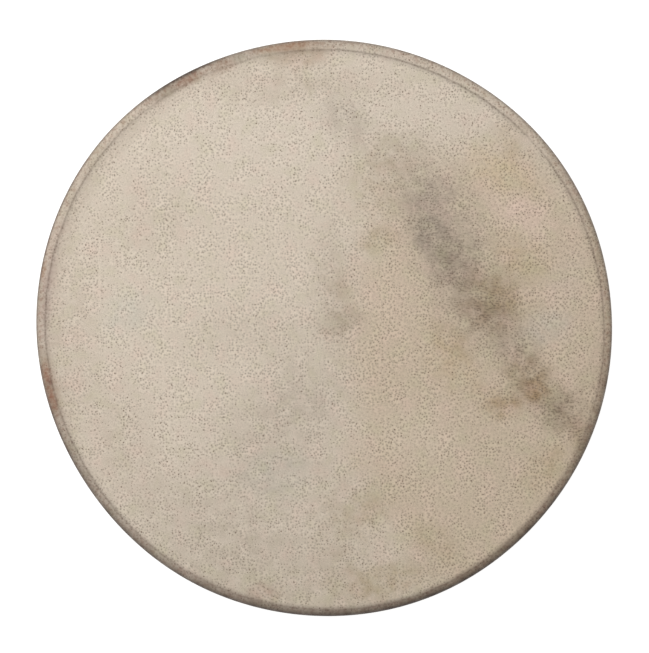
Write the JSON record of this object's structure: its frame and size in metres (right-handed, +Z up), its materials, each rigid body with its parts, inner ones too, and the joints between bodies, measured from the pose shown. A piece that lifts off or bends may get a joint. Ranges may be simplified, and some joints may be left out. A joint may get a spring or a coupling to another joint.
{
  "type": "ceremonial frame drum",
  "caption": "Round single-headed frame drum: a bent wooden hoop with a rawhide head drawn over it, laced at the open back to a wooden grip ring.",
  "frame": {"origin": "middle of the underside, on the surface that the drum lies on", "axes": "+Z up, out of the drumhead; +Y towards the top of the picture and +X towards its right"},
  "size_m": [0.3996, 0.4, 0.066],
  "materials": {
    "hoop_wood": "bare bent wood, darkened by handling",
    "rawhide": "dry scraped rawhide, matte, with hair follicles",
    "lace_hide": "twisted rawhide lace, semi-matte",
    "ring_wood": "turned wood, polished by the hand"
  },
  "bodies": {
    "root": {"hoop": "hoop_wood", "head": "rawhide", "lacing": "lace_hide", "grip_ring": "ring_wood"}
  },
  "joints": []
}
